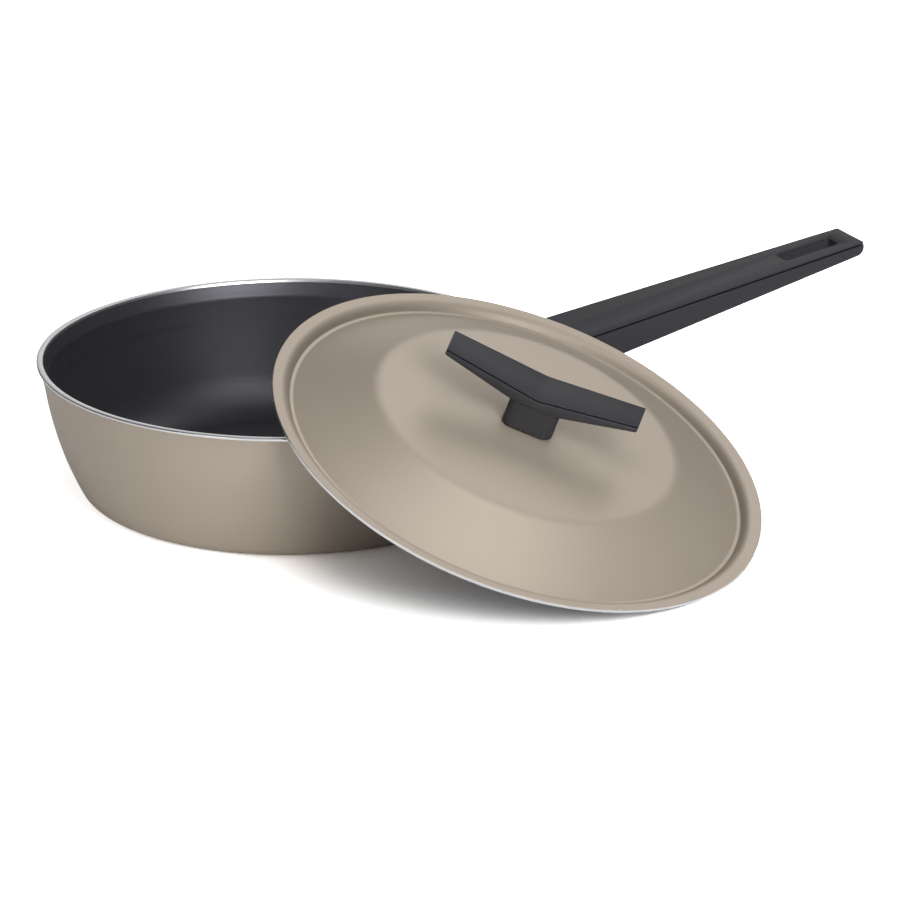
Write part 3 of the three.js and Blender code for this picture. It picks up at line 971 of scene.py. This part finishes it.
# Knob screw: a steel pan-head screw with a cross recess. It runs up through the washer, the lid and the seal
# into the insert, and holds the knob.
knob_screw_head = 4.6
knob_screw_head_height = 2.6
knob_screw_grip = 9.0
knob_screw_seat = washer_low - seat
knob_screw_reach = stem_foot + knob_screw_grip - knob_screw_seat
knob_screw = screw("knob_screw", knob_screw_radius, knob_screw_head, knob_screw_head_height, knob_screw_reach)
knob_screw_place = knob_place @ Matrix.Translation(Vector((0, 0, knob_screw_seat)) * metre)
piece("knob_bolt", knob_screw, knob_screw_place, [steel], "lid", "steel", "knob_screw")


# Studio: a long lens at the photograph's angle, a white floor that keeps the shadow, and a white background
# with a card that shows in reflections. Four softboxes light it: a key at the front right, a large one
# high above, a low one at the front left and one behind.
camera = bpy.data.cameras.new("camera")
camera.lens = 240
camera.sensor_width = 36
camera_object = bpy.data.objects.new("camera", camera)
camera_object.location = (-1.15748, -2.44284, 0.97596)
camera_object.rotation_euler = (math.radians(70.4825), 0, math.radians(-26.97))
bpy.context.scene.collection.objects.link(camera_object)
bpy.context.scene.camera = camera_object

floor_half = 3.0
floor_mesh = bpy.data.meshes.new("floor")
floor_low = -0.0002
floor_ways = [(-1, -1), (1, -1), (1, 1), (-1, 1)]
floor_corners = [(x * floor_half, y * floor_half, floor_low) for x, y in floor_ways]
floor_mesh.from_pydata(floor_corners, [], [(0, 1, 2, 3)])
floor = bpy.data.objects.new("floor", floor_mesh)
bpy.context.scene.collection.objects.link(floor)


def seen_rays(start, gloss_share):
    """1 for rays from the camera or through glass, a share in a reflection, and 0 for light on the object."""
    camera_ray = start.node("LightPath", {}, {}, "Is Camera Ray")
    glossy_ray = start.node("LightPath", {}, {}, "Is Glossy Ray")
    glass_ray = start.node("LightPath", {}, {}, "Is Transmission Ray")
    return start.maths("MAXIMUM", start.maths("MAXIMUM", camera_ray, glossy_ray * gloss_share), glass_ray)


floor_gloss = 0.2
lit_paper = (0.75, 0.75, 0.75)
seen_paper = (2.4, 2.4, 2.4)
shade_centre = (0.09, -0.15, 0)
shade_near = 0.13
shade_far = 0.27
glow_strength = 0.7
paper = bpy.data.materials.new("paper")
paper.use_nodes = True
paper_nodes = paper.node_tree.nodes
paper_nodes.remove(paper_nodes["Principled BSDF"])
sheet = Signal(paper.node_tree)
eye = seen_rays(sheet, floor_gloss)
paper_tone = sheet.tint(eye, lit_paper, seen_paper)
lit = sheet.node("BsdfDiffuse", {}, {"Color": paper_tone})
from_shade = sheet.node("VectorMath", {"operation": "DISTANCE"}, {0: sheet.place(), 1: shade_centre}, "Value")
clear_of_shade = smooth_step(sheet, from_shade, shade_near, shade_far)
glow = sheet.node("Emission", {}, {"Color": eye * clear_of_shade, "Strength": glow_strength})
both = sheet.node("AddShader", {}, {0: lit, 1: glow})
paper.node_tree.links.new(both.socket, paper_nodes["Material Output"].inputs["Surface"])
floor_mesh.materials.append(paper)

view_turn = camera_object.rotation_euler.z
view_right = Vector((math.cos(view_turn), math.sin(view_turn), 0))
view_ahead = Vector((-math.sin(view_turn), math.cos(view_turn), 0))

world = bpy.data.worlds.new("studio")
bpy.context.scene.world = world
world.use_nodes = True
air = Signal(world.node_tree)
room = 0.08
card_rise = 0.3
card_start = 0.978
card_full = 0.992
card_way = (view_ahead + Vector((0, 0, card_rise))).normalized()
way = air.node("TexCoord", {}, {}, "Generated")
near_card = air.node("VectorMath", {"operation": "DOT_PRODUCT"}, {0: way, 1: card_way}, "Value")
card = smooth_step(air, near_card, card_start, card_full)
level = room + seen_rays(air, card) * (1 - room)
backdrop = world.node_tree.nodes["Background"]
backdrop.inputs["Color"].default_value = (1, 1, 1, 1)
world.node_tree.links.new(level.socket, backdrop.inputs["Strength"])

lamp_aim = Vector((0.07, -0.05, 0.03))
lamp_distance = 1.5


def softbox(name, turn, rise, width, height, power):
    """A lamp at a turn to the right of the camera and a rise above the floor, in degrees."""
    turn, rise = math.radians(turn), math.radians(rise)
    level_way = math.sin(turn) * view_right - math.cos(turn) * view_ahead
    way = math.cos(rise) * level_way + Vector((0, 0, math.sin(rise)))
    lamp = bpy.data.lights.new(name, "AREA")
    lamp.shape = "RECTANGLE"
    lamp.size = width
    lamp.size_y = height
    lamp.energy = power
    made = bpy.data.objects.new(name, lamp)
    made.location = lamp_aim + lamp_distance * way
    made.rotation_euler = way.to_track_quat("Z", "Y").to_euler()
    made.visible_camera = False
    bpy.context.scene.collection.objects.link(made)


softbox("key", turn=25, rise=27, width=0.75, height=0.75, power=13.5)
softbox("high", turn=20, rise=66, width=1.3, height=1.3, power=7.0)
softbox("left", turn=-36, rise=7, width=0.5, height=0.5, power=2.2)
softbox("back", turn=155, rise=46, width=0.8, height=0.8, power=2.8)
bpy.context.scene.view_settings.view_transform = "Standard"
